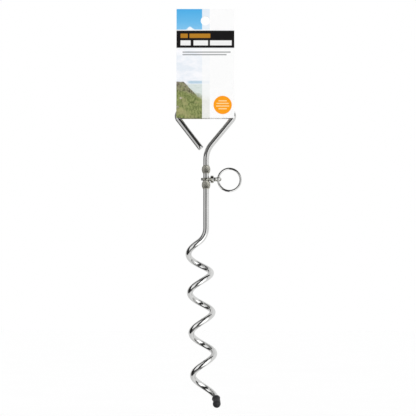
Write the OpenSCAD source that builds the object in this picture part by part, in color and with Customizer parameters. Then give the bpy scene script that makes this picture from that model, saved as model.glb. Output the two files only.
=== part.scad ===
// Screw-in tent stake: one round steel bar bent into an open triangular grip, a straight shank and a
// corkscrew coil. A swivel collar with a lead ring turns between two stops pinched into the shank.
// Millimetres, +Z up. The origin is on the shank's axis at the ground line, where the coil begins.

/* [Bar] */
// Diameter of the round steel bar
rod_d = 8; // [6:0.5:10]
// Straight shank, from the ground line up to the bend under the grip
shank_l = 92.6; // [88:1:140]

/* [Stops] */
// Height of the middle of the lower stop above the ground line
lower_stop_z = 58.2; // [50:0.1:60]
// Length of each pinched stop along the shank
stop_l = 11; // [8:0.5:14]
// Width across the ears that the pinch squeezes out
stop_w = 11.6; // [10.4:0.1:14]
// Thickness left in the middle of the pinch
stop_t = 5.4; // [3.5:0.1:5.8]
// Thickness of the ears
ear_t = 3.6; // [2:0.1:5]

/* [Grip] */
// Centreline radius of the bend from the shank into the slanted leg
neck_bend_r = 33; // [24:1:40]
// Lean of the joined leg away from the shank, in degrees
leg_angle = 39.6; // [34:0.1:44]
// Straight part of the joined leg
leg_l = 42.8; // [38:0.5:60]
// Centreline radius of the two upper corners
corner_r = 8; // [6.5:0.5:12]
// Straight part of the top bar
top_bar_l = 59.3; // [50:0.1:80]
// Lean of the free leg, in degrees
free_leg_angle = 37.6; // [34:0.1:40]
// Gap between the cut end of the free leg and the joined leg
end_gap = 3.3; // [1:0.1:6]

/* [Coil] */
// Centreline radius of the coil
coil_r = 14.7; // [12:0.1:20]
// Centreline radius of the bend from the shank into the coil
lead_bend_r = 23; // [18:1:30]
// Pitch at the top of the coil
pitch_top = 50.1; // [40:0.1:60]
// Growth of the pitch over each turn
pitch_growth = 2.25; // [0:0.05:4]
// Turns of the coil, down to the bare end
coil_turns = 3.69; // [2.5:0.01:4.5]
// Extra drop over the first half-turn, where the bar eases into its pitch
lead_drop = 2.6; // [0:0.1:5]
// Extra drop over the last part-turn, where the coil opens towards the point
end_drop = 2.9; // [0:0.1:12]
// Lean of the coil's axis to the side, back under the shank, in degrees
side_lean = 2.25; // [0:0.05:4]
// Lean of the coil's axis to the front, back under the shank, in degrees
front_lean = 3.8; // [0:0.05:6]

/* [Point and cap] */
// Centreline radius of the bend that opens out of the coil to the point
point_bend_r = 42; // [16:1:80]
// Bar between the end of the coil and the mouth of the cap
bare_l = 4; // [1:0.5:6]
// Length of bar that the cap grips
cap_grip_l = 12; // [6:0.5:16]
// Length of the sharpened point
point_l = 4; // [2:0.5:6]
// Diameter left at the tip of the point
point_tip_d = 2; // [1:0.1:4]
// Outer diameter of the vinyl cap, over the bar diameter
cap_over = 2.2; // [1.6:0.1:5]
// Wall of the cap in front of the point
cap_end_t = 2; // [1:0.1:4]
// Bead round the mouth of the cap, over the cap radius
cap_bead = 0.5; // [0.2:0.1:1]
// Swell of the cap's round end, over the cap radius
cap_swell = 0.15; // [0.1:0.05:0.5]

/* [Collar and swivel] */
// Thickness of the collar round the shank, along the shank
loop_t = 3; // [2:0.1:4]
// Width of the collar's band round the shank
loop_w = 3; // [2:0.1:5]
// Diameter of the round boss that holds the swivel
boss_d = 10; // [8:0.5:13]
// Length of the boss along the swivel's axis
boss_l = 4.3; // [3:0.1:8]
// Travel left between the boss and the upper stop
collar_travel = 2.7; // [1:0.1:6]
// Diameter of the swivel's stem inside the boss
stem_d = 3.6; // [2.5:0.1:4.5]
// Diameter of the peened head that holds the stem in the boss
head_d = 5; // [4.8:0.1:6]
// Thickness of the peened head
head_t = 1; // [0.8:0.1:2]
// Diameter of the neck between the boss and the eye
neck_d = 6; // [4.6:0.1:8]
// Length of the neck
neck_l = 2.3; // [1.5:0.1:8]
// Diameter of the wire that the eye is bent from
eye_wire_d = 1.9; // [1.5:0.1:3]
// Turn of the eye about the swivel's axis, from lying flat, in degrees
eye_turn = 35; // [0:1:40]

/* [Lead ring] */
// Diameter of the ring's wire
ring_wire_d = 3.2; // [2:0.1:4]
// Outer diameter of the ring
ring_d = 33.4; // [24:0.1:50]
// Drop of the ring's middle below the swivel's axis, where it has slipped down in the eye
ring_slip = 0.7; // [0:0.1:1.5]

/* [Header card] */
// Width of the card
card_w = 78.6; // [60:0.1:100]
// Height of the card
card_h = 150.5; // [110:0.1:180]
// Thickness of one layer of board
board_t = 0.5; // [0.4:0.05:0.8]
// Card edge below the middle of the top bar
card_drop = 11.1; // [6:0.1:20]
// Height over which the two layers close up above the bar
card_close_l = 16; // [12:0.5:30]
// Diameter of the hang hole
hang_hole_d = 12.7; // [6:0.1:14]
// Middle of the hang hole below the card's top edge
hang_hole_drop = 16.3; // [10:0.1:30]

/* [Hidden] */
$fn = 64;

// Clearance between pieces that pass each other, and round a shaft or a gripped end
pass_gap = 0.3;
fit_gap = 0.05;
// How far shapes that are joined or cut run past each other
over = 1;

rod_r = rod_d / 2;
// Sides of the bent bar, and the most that it turns between two of its rings, in degrees
bar_sides = 16;
bend_step = 11;

// Points of the grip's plane are [x, z]. The way the bar runs there is its lean from straight up, and a
// bend is to its right as the lean grows (side = 1) or to its left as it shrinks (side = -1).
function aim(lean) = [sin(lean), cos(lean)];
function rightward(lean) = [cos(lean), -sin(lean)];
function on_bend(centre, bend_r, side, lean) = centre - side * bend_r * rightward(lean);

// Grip: the bends' centres, and the straight stretches between them
free_lean = -180 - free_leg_angle;
neck_c = [neck_bend_r, shank_l];
leg_head = on_bend(neck_c, neck_bend_r, 1, leg_angle) + leg_l * aim(leg_angle);
joined_c = leg_head - corner_r * rightward(leg_angle);
free_c = joined_c - [top_bar_l, 0];
grip_top_z = joined_c[1] + corner_r;
free_head = on_bend(free_c, corner_r, -1, free_lean);
free_aim = aim(free_lean);
// The free leg stops where the inner corner of its cut end is end_gap short of the bend under the grip
end_reach = neck_bend_r + rod_r + end_gap;
end_from = free_head - rod_r * rightward(free_lean) - neck_c;
end_along = end_from * free_aim;
free_leg_l = -end_along - sqrt(end_along * end_along - end_from * end_from + end_reach * end_reach);

// Stops, and the collar that turns between them
stop_sag = stop_w / 2 - rod_r;
ear_r = (stop_l * stop_l / 4 + stop_sag * stop_sag) / (2 * stop_sag);
dent_depth = rod_r - stop_t / 2;
dent_l = 0.82 * stop_l;
dent_r = (dent_l * dent_l / 4 + dent_depth * dent_depth) / (2 * dent_depth);
loop_hole_r = rod_r + 1.5 * pass_gap;
loop_r = loop_hole_r + loop_w;
swivel_z = lower_stop_z + stop_l / 2 + loop_t / 2 + 2 * pass_gap;
upper_stop_z = swivel_z + boss_d / 2 + collar_travel + stop_l / 2;
boss_x = max(stop_w / 2 + pass_gap / 2, rod_r + head_t + 2 * pass_gap);
boss_end_x = boss_x + boss_l;
neck_x = boss_end_x + pass_gap;
neck_end_x = neck_x + neck_l;

// The eye just clears the ring's wire, which crosses the eye's plane at a slant
eye_r = (ring_wire_d / 2 + eye_wire_d / 2 + pass_gap) / cos(eye_turn);
eye_x = neck_end_x + eye_r;
ring_r = ring_d / 2 - ring_wire_d / 2;
ring_x = eye_x + ring_r;

// Coil. Its own frame has +Z up its axis, and the bar enters at the front, at [0, -coil_r, 0].
turn_l = 2 * PI * coil_r;
end_turns = 0.4;
coil_steps = 84;
function eased(n) = n < 0.5 ? 4 * n * (1 - n) : 1;
function opened(n) = pow(max(0, n - coil_turns + end_turns) / end_turns, 2);
function fall(n) = pitch_top * n + pitch_growth * n * n / 2 + lead_drop * eased(n) + end_drop * opened(n);
function fall_rate(n) = pitch_top + pitch_growth * n + (n < 0.5 ? 4 * lead_drop * (1 - 2 * n) : 0)
    + 2 * end_drop * sqrt(opened(n)) / end_turns;
function out(n) = [cos(-90 - 360 * n), sin(-90 - 360 * n), 0];
function along(n) = let (v = turn_l * [sin(-90 - 360 * n), -cos(-90 - 360 * n), 0] - [0, 0, fall_rate(n)])
    v / norm(v);
function coil_at(n) = coil_r * out(n) - [0, 0, fall(n)];
// The coil's frame leans to the front and then to the side. The bend above it turns the bar from straight
// down to the way it enters the coil.
function leaned(v) =
    let (y = v[1] * cos(front_lean) + v[2] * sin(front_lean), z = v[2] * cos(front_lean) - v[1] * sin(front_lean))
    [v[0] * cos(side_lean) - z * sin(side_lean), y, v[0] * sin(side_lean) + z * cos(side_lean)];
entry_aim = leaned(along(0));
lead_turn = acos(-entry_aim[2]);
lead_swing = atan2(-entry_aim[1], -entry_aim[0]);
lead_plane = [cos(lead_swing), sin(lead_swing), 0];
function lead_at(turn) = lead_bend_r * ((cos(turn) - 1) * lead_plane - [0, 0, sin(turn)]);
coil_start = lead_at(lead_turn);
lead_steps = ceil(lead_turn / bend_step);

// Point: a flat arc that carries on from the coil, which the cap slides off along
end_aim = along(coil_turns);
end_out = out(coil_turns);
end_axis = cross(end_out, end_aim);
end_c = coil_at(coil_turns) - point_bend_r * end_out;
function arc_turn(length) = length / point_bend_r * 180 / PI;
point_step = 0.1;
point_sink = 0.5;
cap_r = rod_r + cap_over / 2;
cap_ball_r = cap_r + cap_swell;
cap_ball_l = bare_l + cap_grip_l + point_l + cap_end_t - cap_ball_r;

// Card: two layers, open below to straddle the top bar
card_gap = rod_r + pass_gap;
card_x = (joined_c[0] + free_c[0]) / 2;
card_low_z = grip_top_z - card_drop;
card_top_z = card_low_z + card_h;
card_bend_z = grip_top_z + rod_r / 2;

// The bar along a row of stations, skinned into one closed solid. A station is the middle of a ring of
// points and the two directions that the ring lies in.
module bar_through(stations) {
    rings = [
        for (s = stations, j = [0 : bar_sides - 1])
            s[0] + rod_r * (cos(360 * j / bar_sides) * s[1] + sin(360 * j / bar_sides) * s[2])
    ];
    last = (len(stations) - 1) * bar_sides;
    skin = [
        for (a = [0 : bar_sides : last - 1], j = [0 : bar_sides - 1])
            let (b = a + bar_sides, k = (j + 1) % bar_sides)
            each [[a + j, b + j, b + k], [a + j, b + k, a + k]]
    ];
    start_face = [for (j = [0 : bar_sides - 1]) j];
    end_face = [for (j = [bar_sides - 1 : -1 : 0]) last + j];
    polyhedron(points = rings, faces = concat(skin, [start_face, end_face]));
}

// The ears that a pinch squeezes out of the bar, lens-shaped from the front
module ears()
    rotate([90, 0, 0])
        linear_extrude(height = ear_t, center = true)
            intersection() {
                translate([stop_w / 2 - ear_r, 0]) circle(r = ear_r);
                translate([ear_r - stop_w / 2, 0]) circle(r = ear_r);
            }

// The two shallow dents that the pinching jaws leave
module dents()
    for (side = [-1, 1])
        translate([0, side * (stop_t / 2 + dent_r), 0])
            rotate([0, 90, 0])
                cylinder(r = dent_r, h = 2 * stop_w, center = true);

// Stations of the grip's plane: along a bend from one lean to another, or at one point of a straight
function flat_station(point, lean) =
    let (r = rightward(lean))
    [[point[0], 0, point[1]], [r[0], 0, r[1]], [0, 1, 0]];
function bend_stations(centre, bend_r, side, from, to) =
    let (steps = ceil(abs(to - from) / bend_step))
    [for (i = [0 : steps]) let (a = from + (to - from) * i / steps)
        flat_station(on_bend(centre, bend_r, side, a), a)];

module grip()
    color("silver")
        bar_through(concat(
            bend_stations(neck_c, neck_bend_r, 1, 0, leg_angle),
            bend_stations(joined_c, corner_r, -1, leg_angle, -90),
            bend_stations(free_c, corner_r, -1, -90, free_lean),
            [flat_station(free_head + free_leg_l * free_aim, free_lean)]
        ));

module shank()
    color("silver")
        difference() {
            union() {
                cylinder(r = rod_r, h = shank_l);
                for (z = [lower_stop_z, upper_stop_z])
                    translate([0, 0, z]) ears();
            }
            for (z = [lower_stop_z, upper_stop_z])
                translate([0, 0, z]) dents();
        }

module in_coil()
    translate(coil_start)
        rotate([-front_lean, -side_lean, 0])
            translate([0, coil_r, 0])
                children();

// Stations of the bend into the coil, and of the coil itself
function lead_station(turn) =
    let (u = [lead_plane[1], -lead_plane[0], 0], way = -sin(turn) * lead_plane - [0, 0, cos(turn)])
    [lead_at(turn), u, cross(way, u)];
function coil_station(n) =
    [coil_start + leaned(coil_at(n) + [0, coil_r, 0]), leaned(out(n)), leaned(cross(along(n), out(n)))];

module coil()
    color("silver")
        bar_through(concat(
            [for (i = [0 : lead_steps - 1]) lead_station(lead_turn * i / lead_steps)],
            [for (i = [0 : coil_steps]) coil_station(coil_turns * i / coil_steps)]
        ));

// The flat arc that the point and the cap share: +Y is the way the bar runs, a length along from the coil
module on_arc(length)
    in_coil()
        multmatrix([
            for (i = [0 : 2])
                [end_out[i], end_aim[i], end_axis[i], end_c[i]]
        ])
            rotate([0, 0, arc_turn(length)])
                children();

module arc_bar(from, to, bar_r)
    on_arc(from)
        rotate_extrude(angle = arc_turn(to - from))
            translate([point_bend_r, 0])
                circle(r = bar_r);

// The bar's end and its sharpened tip, with room round it when it shapes the inside of the cap. The tip
// starts a little narrower than the bar, from just inside it.
module bar_end(from, room) {
    arc_bar(from, bare_l + cap_grip_l, rod_r + room);
    on_arc(bare_l + cap_grip_l)
        translate([point_bend_r, -point_sink, 0])
            rotate([-90, 0, 0])
                cylinder(
                    r1 = rod_r + room - point_step,
                    r2 = point_tip_d / 2 + room,
                    h = point_l + room + point_sink
                );
}

module point()
    color("silver")
        bar_end(0, 0);

module tip_cap()
    color("#26282b")
        difference() {
            union() {
                arc_bar(bare_l, cap_ball_l, cap_r);
                on_arc(cap_ball_l)
                    translate([point_bend_r, 0, 0])
                        sphere(r = cap_ball_r);
                arc_bar(bare_l, bare_l + 3 * cap_bead, cap_r + cap_bead);
            }
            bar_end(bare_l - over, fit_gap);
        }

// The collar is a flat band that widens into two cheeks, which hold the boss clear of the swivel's head
module collar()
    color("gainsboro")
        translate([0, 0, swivel_z])
            difference() {
                union() {
                    linear_extrude(height = loop_t, center = true)
                        union() {
                            circle(r = loop_r);
                            polygon([
                                [0, -loop_r],
                                [boss_x + boss_l / 2, -0.48 * boss_d],
                                [boss_x + boss_l / 2, 0.48 * boss_d],
                                [0, loop_r]
                            ]);
                        }
                    translate([boss_x, 0, 0])
                        rotate([0, 90, 0])
                            cylinder(d = boss_d, h = boss_l);
                }
                cylinder(r = loop_hole_r, h = 2 * loop_t, center = true);
                rotate([0, 90, 0])
                    cylinder(r = stem_d / 2 + fit_gap, h = boss_end_x + over);
                rotate([0, 90, 0])
                    cylinder(r = head_d / 2 + pass_gap, h = boss_x);
            }

module swivel_eye()
    color("lightgray")
        translate([0, 0, swivel_z]) {
            translate([boss_x - pass_gap - head_t, 0, 0])
                rotate([0, 90, 0]) {
                    cylinder(d = head_d, h = head_t);
                    cylinder(d = stem_d, h = neck_x - boss_x + pass_gap + head_t + over);
                }
            difference() {
                translate([neck_x, 0, 0])
                    rotate([0, 90, 0])
                        cylinder(d = neck_d, h = neck_l);
                translate([eye_x, 0, 0])
                    rotate([-eye_turn, 0, 0])
                        cylinder(r = eye_r - eye_wire_d / 2, h = 2 * neck_d, center = true);
            }
            translate([eye_x, 0, 0])
                rotate([-eye_turn, 0, 0])
                    rotate_extrude()
                        translate([eye_r, 0])
                            circle(d = eye_wire_d);
        }

module lead_ring()
    color("silver")
        translate([ring_x, 0, swivel_z - ring_slip])
            rotate([90, 0, 0])
                rotate_extrude()
                    translate([ring_r, 0])
                        circle(d = ring_wire_d);

module header_card()
    color("white")
        difference() {
            translate([card_x - card_w / 2, 0, 0])
                rotate([90, 0, 90])
                    linear_extrude(height = card_w)
                        polygon([
                            [-board_t, card_top_z],
                            [-board_t, card_bend_z + card_close_l],
                            [-card_gap - board_t, card_bend_z],
                            [-card_gap - board_t, card_low_z],
                            [-card_gap, card_low_z],
                            [-card_gap, card_bend_z],
                            [0, card_bend_z + card_close_l],
                            [card_gap, card_bend_z],
                            [card_gap, card_low_z],
                            [card_gap + board_t, card_low_z],
                            [card_gap + board_t, card_bend_z],
                            [board_t, card_bend_z + card_close_l],
                            [board_t, card_top_z]
                        ]);
            translate([card_x, 0, card_top_z - hang_hole_drop])
                rotate([90, 0, 0])
                    cylinder(d = hang_hole_d, h = 4 * board_t, center = true);
        }

grip();
shank();
coil();
point();
collar();
swivel_eye();
lead_ring();
tip_cap();
header_card();
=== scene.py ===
import math

import bpy
import numpy as np
from bpy.props import FloatProperty, FloatVectorProperty, IntProperty, PointerProperty
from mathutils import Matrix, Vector


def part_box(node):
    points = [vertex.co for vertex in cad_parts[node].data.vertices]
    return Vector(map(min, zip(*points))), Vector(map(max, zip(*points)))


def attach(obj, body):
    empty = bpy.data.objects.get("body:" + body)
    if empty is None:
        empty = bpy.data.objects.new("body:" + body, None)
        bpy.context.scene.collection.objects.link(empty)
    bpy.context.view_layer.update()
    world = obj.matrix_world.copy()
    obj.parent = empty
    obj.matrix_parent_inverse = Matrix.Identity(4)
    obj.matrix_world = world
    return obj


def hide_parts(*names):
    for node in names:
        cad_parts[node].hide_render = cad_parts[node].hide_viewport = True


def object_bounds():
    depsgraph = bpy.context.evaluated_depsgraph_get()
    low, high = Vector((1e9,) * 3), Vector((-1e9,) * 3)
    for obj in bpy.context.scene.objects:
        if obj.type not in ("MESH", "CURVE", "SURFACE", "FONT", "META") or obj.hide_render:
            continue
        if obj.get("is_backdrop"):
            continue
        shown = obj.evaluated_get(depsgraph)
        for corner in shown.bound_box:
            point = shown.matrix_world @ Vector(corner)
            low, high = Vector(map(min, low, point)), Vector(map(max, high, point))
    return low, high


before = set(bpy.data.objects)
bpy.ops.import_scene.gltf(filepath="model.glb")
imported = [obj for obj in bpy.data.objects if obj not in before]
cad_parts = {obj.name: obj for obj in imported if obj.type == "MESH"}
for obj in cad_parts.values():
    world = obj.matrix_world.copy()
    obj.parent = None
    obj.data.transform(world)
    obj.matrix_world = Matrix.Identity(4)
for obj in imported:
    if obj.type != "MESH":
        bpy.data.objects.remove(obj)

bl_info = {
    "name": "Screw-in Tent Stake",
    "version": (1, 0, 0),
    "blender": (4, 5, 0),
    "location": "View3D > Sidebar > Tent Stake",
    "description": "Builds the bent bar, collar, swivel, lead ring, tip cap and header card of a tent stake",
    "category": "Add Mesh",
}

MM = 0.001


# ---------------------------------------------------------------- settings

def length(name, description, millimetres):
    return FloatProperty(
        name=name, description=description, default=millimetres * MM, min=0.0,
        subtype="DISTANCE", unit="LENGTH", precision=5,
    )


def turn(name, description, degrees):
    return FloatProperty(
        name=name, description=description, default=math.radians(degrees),
        subtype="ANGLE", unit="ROTATION", precision=4,
    )


def amount(name, description, default):
    return FloatProperty(name=name, description=description, default=default, subtype="FACTOR")


def number(name, description, default):
    return FloatProperty(name=name, description=description, default=default, precision=4)


def count(name, description, default):
    return IntProperty(name=name, description=description, default=default, min=3)


def tint(name, description, default):
    return FloatVectorProperty(
        name=name, description=description, default=default, size=3, min=0.0, max=1.0, subtype="COLOR",
    )


class STAKE_PG_bar(bpy.types.PropertyGroup):
    rod_d: length("Bar Diameter", "Diameter of the round steel bar", 8)
    shank_l: length("Shank", "Straight shank above the ground line", 92.6)
    neck_bend_r: length("Neck Bend", "Centreline radius of the bend under the grip", 33)
    leg_angle: turn("Joined Leg Lean", "Lean of the joined leg away from the shank", 39.6)
    leg_l: length("Joined Leg", "Straight part of the joined leg", 42.8)
    corner_r: length("Corner Radius", "Centreline radius of the two upper corners", 8)
    top_bar_l: length("Top Bar", "Straight part of the top bar", 59.3)
    free_leg_angle: turn("Free Leg Lean", "Lean of the free leg", 37.6)
    free_leg_l: length("Free Leg", "Straight part of the free leg, to its cut end", 49.755)
    cut_chamfer: length("Cut Chamfer", "Broken edge round the cut end of the free leg", 0.45)
    sides: count("Sides", "Points round the bar", 40)
    ring_gap: length("Ring Spacing", "Longest step between two rings of the bar on a bend", 1.5)


class STAKE_PG_stops(bpy.types.PropertyGroup):
    lower_z: length("Lower Stop", "Height of the middle of the lower stop", 58.2)
    upper_z: length("Upper Stop", "Height of the middle of the upper stop", 79)
    stop_l: length("Length", "Length of each pinched stop along the shank", 11)
    stop_w: length("Width", "Width across the ears that the pinch squeezes out", 11.6)
    stop_t: length("Thickness", "Thickness left in the middle of the pinch", 5.4)
    jaw_pitch: length("Jaw Pitch", "Spacing of the marks that the jaws leave", 1.5)
    jaw_depth: length("Jaw Depth", "Depth of the marks that the jaws leave", 0.16)


class STAKE_PG_coil(bpy.types.PropertyGroup):
    coil_r: length("Coil Radius", "Centreline radius of the coil", 14.7)
    lead_bend_r: length("Lead Bend", "Centreline radius of the bend into the coil", 23)
    pitch_top: length("Pitch", "Pitch at the top of the coil", 50.1)
    pitch_growth: length("Pitch Growth", "Growth of the pitch over each turn", 2.25)
    turns: number("Turns", "Turns of the coil, down to the bare end", 3.69)
    lead_drop: length("Lead Drop", "Extra drop over the first half-turn", 2.6)
    end_drop: length("End Drop", "Extra drop over the last part-turn", 2.9)
    end_turns: number("End Turns", "Part of a turn over which the coil opens to the point", 0.4)
    side_lean: turn("Side Lean", "Lean of the coil's axis to the side", 2.25)
    front_lean: turn("Front Lean", "Lean of the coil's axis to the front", 3.8)
    point_bend_r: length("Point Bend", "Centreline radius of the bend through the point and the cap", 42)
    bare_l: length("Bare End", "Bar between the end of the coil and the mouth of the cap", 4)
    grip_l: length("Gripped End", "Length of bar that the cap grips", 12)
    point_l: length("Point", "Length of the sharpened point", 4)
    tip_d: length("Tip Diameter", "Diameter left at the tip of the point", 2)


class STAKE_PG_cap(bpy.types.PropertyGroup):
    over: length("Over Bar", "Outer diameter of the cap, over the bar diameter", 2.2)
    bead: length("Bead", "Bead round the mouth, over the cap radius", 0.5)
    waist: length("Waist", "How far the cap draws in between its mouth and its round end", 0.3)
    ball_swell: length("End Swell", "Swell of the round end, over the cap radius", 0.15)
    end_t: length("End Wall", "Wall of the cap in front of the point", 2)
    fit_gap: length("Fit", "Room between the bar and the inside of the cap", 0.05)
    vinyl: tint("Vinyl", "Colour of the dipped vinyl", (0.016, 0.0165, 0.019))


class STAKE_PG_collar(bpy.types.PropertyGroup):
    height: length("Height", "Height of the swivel's axis above the ground line", 65.8)
    hole_r: length("Bore Radius", "Radius of the hole that turns round the shank", 4.45)
    band_r: length("Band Radius", "Outer radius of the band round the shank", 7.45)
    band_t: length("Band Thickness", "Thickness of the band along the shank", 3)
    boss_d: length("Boss Diameter", "Diameter of the boss that holds the swivel", 10)
    boss_x: length("Boss Start", "Inner face of the boss from the shank's axis", 5.95)
    boss_l: length("Boss Length", "Length of the boss along the swivel's axis", 4.3)
    fillet: length("Fillet", "Fillet where the forged shapes meet", 1.1)
    cell: length("Mesh Cell", "Size of the faces of the forged pieces", 0.26)


class STAKE_PG_swivel(bpy.types.PropertyGroup):
    stem_d: length("Stem Diameter", "Diameter of the stem inside the boss", 3.6)
    head_d: length("Head Diameter", "Diameter of the peened head behind the boss", 5)
    head_t: length("Head Thickness", "Thickness of the peened head", 1)
    gap: length("Gap", "Clearance on each side of the boss", 0.3)
    neck_d: length("Neck Diameter", "Diameter of the neck in front of the boss", 6)
    neck_l: length("Neck Length", "Length of the neck", 2.3)
    eye_r: length("Eye Radius", "Centreline radius of the eye", 3.479)
    eye_wire_d: length("Eye Wire", "Diameter of the wire of the eye", 1.9)
    eye_turn: turn("Eye Turn", "Turn of the eye about the swivel's axis, from lying flat", 35)


class STAKE_PG_ring(bpy.types.PropertyGroup):
    ring_r: length("Ring Radius", "Centreline radius of the lead ring", 15.1)
    wire_d: length("Wire Diameter", "Diameter of the ring's wire", 3.2)
    weld_at: turn("Weld Place", "Where the ring is welded shut, round from its outer side", -128)
    weld_w: turn("Weld Width", "Angle that the weld takes up", 5)
    weld_h: amount("Weld Height", "Rise of the weld, as a share of the wire's radius", 0.13)


class STAKE_PG_card(bpy.types.PropertyGroup):
    width: length("Width", "Width of the card", 78.6)
    board_t: length("Board", "Thickness of one layer of board", 0.5)
    bar_gap: length("Bar Gap", "Room between the middle of the top bar and each layer", 4.3)
    close_l: length("Closing Height", "Height over which the two layers close up above the bar", 16)
    hole_d: length("Hole Diameter", "Diameter of the hang hole", 12.7)
    hole_drop: length("Hole Drop", "Middle of the hang hole below the top edge", 16.3)
    ink_black: tint("Band", "Colour of the dark band", (0.009, 0.008, 0.009))
    ink_orange: tint("Disc", "Colour of the round spot", (0.98, 0.345, 0.0))
    board_white: tint("Board", "Colour of the bare coated board", (0.96, 0.96, 0.96))


class STAKE_PG_steel(bpy.types.PropertyGroup):
    plate: tint("Plate", "Colour of the bright plating", (0.80, 0.80, 0.79))
    plate_dark: tint("Plate Shade", "Darker cast in the bright plating", (0.62, 0.62, 0.61))
    dull: tint("Dull Plate", "Colour of the dull plating on forged and pinched places", (0.57, 0.56, 0.49))
    bare: tint("Bare Steel", "Colour of cut and ground faces", (0.50, 0.49, 0.47))
    gloss: amount("Gloss Roughness", "Roughness of the bright plating", 0.04)
    satin: amount("Satin Roughness", "Roughness of the dull plating", 0.42)


class STAKE_PG_stage(bpy.types.PropertyGroup):
    lens: FloatProperty(name="Lens", description="Focal length of the camera, in millimetres", default=115.8)
    distance: length("Distance", "Distance of the camera from what it looks at", 1800)
    look_x: length("Look At X", "Sideways place of the point that the camera looks at", 2.6)
    look_z: length("Look At Z", "Height of the point that the camera looks at", 27)
    elevation: turn("Elevation", "Height of the camera above the horizon", -5)
    floor_size: length("Floor Size", "Side of the pale floor", 60000)
    floor_drop: length("Floor Drop", "Room between the tip and the floor, for drawing the cap off", 30)
    floor_tint: tint("Floor", "Colour of the pale floor", (0.93, 0.93, 0.93))
    right_glow: number("Right Softbox", "Brightness of the panel on the right", 0.98)
    side_glow: number("Side Softbox", "Brightness of the panel at the right-hand side", 0.80)
    left_glow: number("Left Softbox", "Brightness of the panel on the left", 0.62)
    room_light: number("Room Light", "Strength of the even light from all round", 1.06)


# ---------------------------------------------------------------- mesh tools

def unit(v):
    return v / np.linalg.norm(v, axis=-1, keepdims=True)


def object_from(name, points, faces):
    """A smooth mesh object."""
    mesh = bpy.data.meshes.new(name)
    mesh.from_pydata([tuple(p) for p in points], [], [tuple(int(i) for i in f) for f in faces])
    mesh.polygons.foreach_set("use_smooth", [True] * len(mesh.polygons))
    mesh.validate()
    mesh.update()
    made = bpy.data.objects.new(name, mesh)
    bpy.context.scene.collection.objects.link(made)
    return made


def round_angles(steps):
    return np.linspace(0, 2 * math.pi, steps, endpoint=False)


def skin_rings(name, rings, looped=False):
    """Skin over rings of points, closed at both ends unless it is looped."""
    rings = np.asarray(rings)
    n, sides = rings.shape[:2]
    points, faces = list(rings.reshape(-1, 3)), []
    for i in range(n if looped else n - 1):
        k = (i + 1) % n
        for j in range(sides):
            m = (j + 1) % sides
            faces.append((i * sides + j, i * sides + m, k * sides + m, k * sides + j))
    if not looped:
        for ring, order in ((0, -1), (n - 1, 1)):
            hub = len(points)
            points.append(rings[ring].mean(axis=0))
            for j in range(sides):
                pair = (ring * sides + j, ring * sides + (j + 1) % sides)
                faces.append((hub, *pair[::order]))
    return object_from(name, points, faces)


def transported(ways, first):
    """Side directions carried along a path without twist, starting from first."""
    sides = [np.asarray(first, float)]
    for a, b in zip(ways[:-1], ways[1:]):
        axis = np.cross(a, b)
        v = sides[-1]
        sides.append(v + np.cross(axis, v) + np.cross(axis, np.cross(axis, v)) / (1 + a @ b))
    return np.array(sides)


def grown_mesh(name, field, low, high, cell):
    """Closed mesh of the places where field is below zero, its points drawn onto the zero surface."""
    low, high = np.asarray(low, float), np.asarray(high, float)
    n = np.ceil((high - low) / cell).astype(int) + 1
    axes = [low[i] + cell * np.arange(n[i]) for i in range(3)]
    grid = np.stack(np.meshgrid(*axes, indexing="ij"), -1)
    values = field(grid.reshape(-1, 3)).reshape(n)
    inside = values < 0
    corners = [(i, j, k) for i in (0, 1) for j in (0, 1) for k in (0, 1)]

    def corner(a, c):
        return a[tuple(slice(c[i], a.shape[i] - 1 + c[i]) for i in range(3))]

    held = sum(corner(inside, c).astype(int) for c in corners)
    mixed = (held > 0) & (held < 8)
    index = np.full(mixed.shape, -1)
    index[mixed] = np.arange(mixed.sum())
    total, crossings = np.zeros(mixed.shape + (3,)), np.zeros(mixed.shape)
    for a in corners:
        for axis in range(3):
            if a[axis]:
                continue
            b = tuple(v + (i == axis) for i, v in enumerate(a))
            va, vb = corner(values, a), corner(values, b)
            cut = (va < 0) != (vb < 0)
            share = np.where(cut, va / np.where(cut, va - vb, 1), 0)
            for i in range(3):
                total[..., i] += np.where(cut, a[i] + (share if i == axis else 0), 0)
            crossings += cut
    places = np.argwhere(mixed)
    points = low + cell * (places + total[mixed] / crossings[mixed][:, None])
    nudge, passes = cell * 0.02, 4
    for _ in range(passes):
        here = field(points)
        slope = np.stack([
            (field(points + nudge * e) - field(points - nudge * e)) / (2 * nudge) for e in np.eye(3)
        ], -1)
        pull = here / np.maximum((slope ** 2).sum(-1), 0.25)
        points -= np.clip(pull, -cell, cell)[:, None] * slope
    faces = []
    for axis in range(3):
        p, q = [(1, 2), (2, 0), (0, 1)][axis]
        for spot in np.argwhere(np.diff(inside, axis=axis)):
            if spot[p] == 0 or spot[q] == 0:
                continue
            around = []
            for dp, dq in ((-1, -1), (0, -1), (0, 0), (-1, 0)):
                c = spot.copy()
                c[p] += dp
                c[q] += dq
                around.append(index[tuple(c)])
            faces.append(around if inside[tuple(spot)] else around[::-1])
    return object_from(name, points, faces)


# Distance fields of the forged shapes. Each takes rows of points and gives a distance, below zero inside.

def merged(a, b, reach):
    h = np.clip(0.5 + 0.5 * (b - a) / reach, 0, 1)
    return b * (1 - h) + a * h - reach * h * (1 - h)


def pared(a, b, reach):
    return -merged(-a, b, reach)


def puck(p, axis, centre, radius, half, edge):
    """Round disc or cylinder along axis (0, 1 or 2) with a rounded edge."""
    q = p - np.asarray(centre)
    others = [i for i in range(3) if i != axis]
    d0 = np.hypot(q[:, others[0]], q[:, others[1]]) - radius + edge
    d1 = np.abs(q[:, axis]) - half + edge
    return np.minimum(np.maximum(d0, d1), 0) + np.hypot(np.maximum(d0, 0), np.maximum(d1, 0)) - edge


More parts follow.
